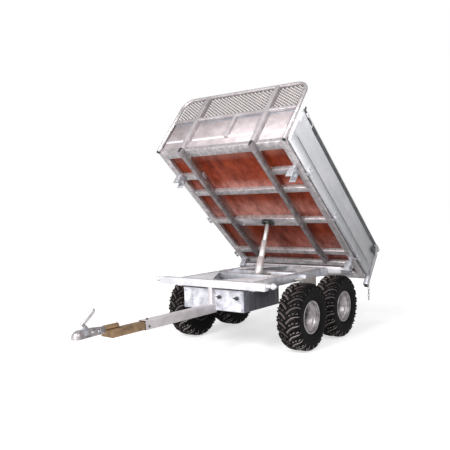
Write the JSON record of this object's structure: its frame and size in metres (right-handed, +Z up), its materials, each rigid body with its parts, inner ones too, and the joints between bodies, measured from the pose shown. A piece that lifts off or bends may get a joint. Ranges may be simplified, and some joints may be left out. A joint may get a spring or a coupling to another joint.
{
  "type": "dump trailer",
  "caption": "Tipping trailer with a raised steel bed, drop sides, meshed headboard and tailgate, on walking-beam bogies with balloon tyres and a sliding drawbar.",
  "frame": {"origin": "on the ground, below the middle of the trailer's length and width with the bed raised", "axes": "+X towards the coupler, +Y to the trailer's left, +Z up"},
  "size_m": [3.286, 1.442, 2.2233],
  "materials": {
    "galvanised": "hot-dip galvanised, satin with a faint spangle",
    "dull_zinc": "weathered galvanised, matte",
    "bright_zinc": "bright zinc",
    "yellow_zinc": "yellow passivated zinc",
    "tyre": "matte black rubber",
    "rim": "silver paint",
    "plywood": "film-faced, glossy red-brown",
    "black_plastic": "matte",
    "dark_steel": "oiled dark steel",
    "cylinder_paint": "light grey paint",
    "ram_steel": "ground and plated"
  },
  "bodies": {
    "chassis": {"chassis_rails": "galvanised", "front_beam": "galvanised", "rear_beam": "galvanised", "cross_members": "galvanised", "corner_plates": "dull_zinc", "trunnion_hangers": "yellow_zinc", "hydraulic_box": "dull_zinc", "box_controls": "black_plastic", "drawbar": "galvanised", "sliding_bar": "yellow_zinc", "coupler": "bright_zinc", "coupler_handle": "bright_zinc", "bogie_brackets": "galvanised", "walking_beams": "dull_zinc", "stub_axles": "bright_zinc"},
    "wheel_front_left": {"tyre_front_left": "tyre", "rim_front_left": "rim"},
    "wheel_front_right": {"tyre_front_right": "tyre", "rim_front_right": "rim"},
    "wheel_rear_left": {"tyre_rear_left": "tyre", "rim_rear_left": "rim"},
    "wheel_rear_right": {"tyre_rear_right": "tyre", "rim_rear_right": "rim"},
    "bed": {"bed_side_rails": "galvanised", "bed_long_tubes": "galvanised", "bed_cross_tubes": "galvanised", "bed_end_beams": "galvanised", "bed_outriggers": "galvanised", "pivot_sockets": "galvanised", "head_socket": "dark_steel", "floor_board": "plywood", "headboard_loop": "galvanised", "headboard_posts": "galvanised", "headboard_sheet": "galvanised", "headboard_mesh": "galvanised", "rear_posts": "galvanised", "side_hinges": "galvanised", "tube_plugs": "black_plastic"},
    "drop_side_left": {"side_left": "galvanised"},
    "drop_side_right": {"side_right": "galvanised"},
    "tail_gate": {"tailgate": "galvanised", "safety_chain": "dull_zinc", "gate_plugs": "black_plastic"},
    "barrel": {"cylinder_barrel": "cylinder_paint"},
    "stage_1": {"cylinder_stage_1": "ram_steel"},
    "stage_2": {"cylinder_stage_2": "ram_steel"},
    "stage_3": {"cylinder_stage_3": "ram_steel"}
  },
  "joints": [
    {"name": "bed_tip", "type": "hinge", "parent": "chassis", "child": "bed", "pos_m": [-1.11203, 0, 0.585], "axis": [0, -1, 0], "range_deg": [-39.75, 5.25]},
    {"name": "front_left_wheel_spin", "type": "hinge", "parent": "chassis", "child": "wheel_front_left", "pos_m": [-0.25603, 0.579, 0.28], "axis": [0, 1, 0], "continuous": true},
    {"name": "front_right_wheel_spin", "type": "hinge", "parent": "chassis", "child": "wheel_front_right", "pos_m": [-0.25603, -0.579, 0.28], "axis": [0, 1, 0], "continuous": true},
    {"name": "rear_left_wheel_spin", "type": "hinge", "parent": "chassis", "child": "wheel_rear_left", "pos_m": [-0.86803, 0.579, 0.28], "axis": [0, 1, 0], "continuous": true},
    {"name": "rear_right_wheel_spin", "type": "hinge", "parent": "chassis", "child": "wheel_rear_right", "pos_m": [-0.86803, -0.579, 0.28], "axis": [0, 1, 0], "continuous": true},
    {"name": "side_left_drop", "type": "hinge", "parent": "bed", "child": "drop_side_left", "pos_m": [-0.63011, 0.703, 1.10027], "axis": [-0.7688, 0, -0.6394], "range_deg": [0, 178]},
    {"name": "side_right_drop", "type": "hinge", "parent": "bed", "child": "drop_side_right", "pos_m": [-0.63011, -0.703, 1.10027], "axis": [0.7688, 0, 0.6394], "range_deg": [0, 178]},
    {"name": "tailgate_swing", "type": "hinge", "parent": "bed", "child": "tail_gate", "pos_m": [-1.60776, 0, 0.7463], "axis": [0, 1, 0], "range_deg": [0, 85]},
    {"name": "cylinder_swing", "type": "hinge", "parent": "chassis", "child": "barrel", "pos_m": [-0.46203, 0, 0.54], "axis": [0, -1, 0], "range_deg": [-19.3, 3.4]},
    {"name": "stage_1_slide", "type": "slide", "parent": "barrel", "child": "stage_1", "axis": [-0.3757, 0, 0.9267], "range_m": [-0.1446, 0.0208]},
    {"name": "stage_2_slide", "type": "slide", "parent": "stage_1", "child": "stage_2", "axis": [-0.3757, 0, 0.9267], "range_m": [-0.1446, 0.0208]},
    {"name": "stage_3_slide", "type": "slide", "parent": "stage_2", "child": "stage_3", "axis": [-0.3757, 0, 0.9267], "range_m": [-0.1446, 0.0208]}
  ],
  "couplings": [
    {"joint": "cylinder_swing", "follows": "bed_tip", "ratio": 0.46012},
    {"joint": "stage_1_slide", "follows": "bed_tip", "m_per_rad": 0.20547},
    {"joint": "stage_2_slide", "follows": "bed_tip", "m_per_rad": 0.20547},
    {"joint": "stage_3_slide", "follows": "bed_tip", "m_per_rad": 0.20547}
  ]
}
